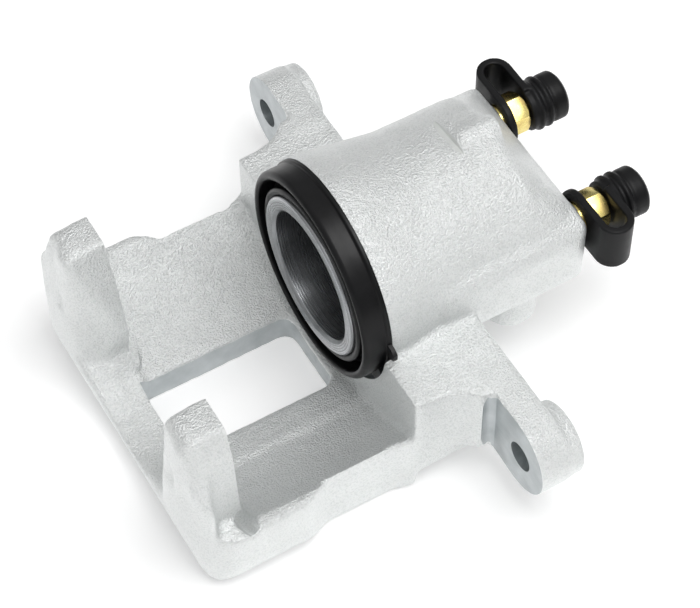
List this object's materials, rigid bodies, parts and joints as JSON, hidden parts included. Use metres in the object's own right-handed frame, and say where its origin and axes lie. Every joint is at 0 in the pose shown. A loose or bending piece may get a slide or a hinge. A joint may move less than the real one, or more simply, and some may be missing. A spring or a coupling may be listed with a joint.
{
  "type": "brake caliper",
  "caption": "Floating disc brake caliper: cast body with cylinder, guide pin ears and two fingers over a windowed bridge, sliding piston with dust boot, bleed screws with strapped rubber caps.",
  "frame": {"origin": "centre of the piston's front face with the piston pressed back", "axes": "+X along the piston towards the closed end of the cylinder, +Y along the line of the guide pins, +Z away from the bridge"},
  "size_m": [0.1571, 0.162, 0.0768],
  "materials": {
    "cast_body": "silver zinc plating over a rough sand-cast skin, machined faces smooth",
    "piston_steel": "turned and ground steel",
    "seal_rubber": "moulded rubber",
    "boot_rubber": "satin black moulded rubber",
    "ring_steel": "pressed steel",
    "yellow_zinc": "yellow zinc plated steel",
    "cap_rubber": "matt black moulded rubber"
  },
  "bodies": {
    "caliper": {"caliper_body": "cast_body", "piston_seal": "seal_rubber", "dust_boot": "boot_rubber", "boot_retaining_ring": "ring_steel"},
    "piston": {"piston": "piston_steel"},
    "bleed_screw_left": {"bleed_screw_left": "yellow_zinc"},
    "bleed_screw_right": {"bleed_screw_right": "yellow_zinc"},
    "bleed_cap_left": {"bleed_cap_left": "cap_rubber"},
    "bleed_cap_right": {"bleed_cap_right": "cap_rubber"}
  },
  "joints": [
    {"name": "piston_slide", "type": "slide", "parent": "caliper", "child": "piston", "axis": [-1, 0, 0], "range_m": [-0.001, 0.024], "deforming": ["dust_boot"]},
    {"name": "bleed_screw_left_turn", "type": "hinge", "parent": "caliper", "child": "bleed_screw_left", "pos_m": [0.0747, -0.0205, 0.0005], "axis": [1, 0, 0], "range_deg": [0, 360]},
    {"name": "bleed_screw_right_turn", "type": "hinge", "parent": "caliper", "child": "bleed_screw_right", "pos_m": [0.0747, 0.0205, 0.0005], "axis": [1, 0, 0], "range_deg": [0, 360]},
    {"name": "bleed_cap_left_swivel", "type": "hinge", "parent": "bleed_screw_left", "child": "bleed_cap_left", "pos_m": [0.0747, -0.0205, 0.0005], "axis": [1, 0, 0], "continuous": true},
    {"name": "bleed_cap_right_swivel", "type": "hinge", "parent": "bleed_screw_right", "child": "bleed_cap_right", "pos_m": [0.0747, 0.0205, 0.0005], "axis": [1, 0, 0], "continuous": true}
  ]
}
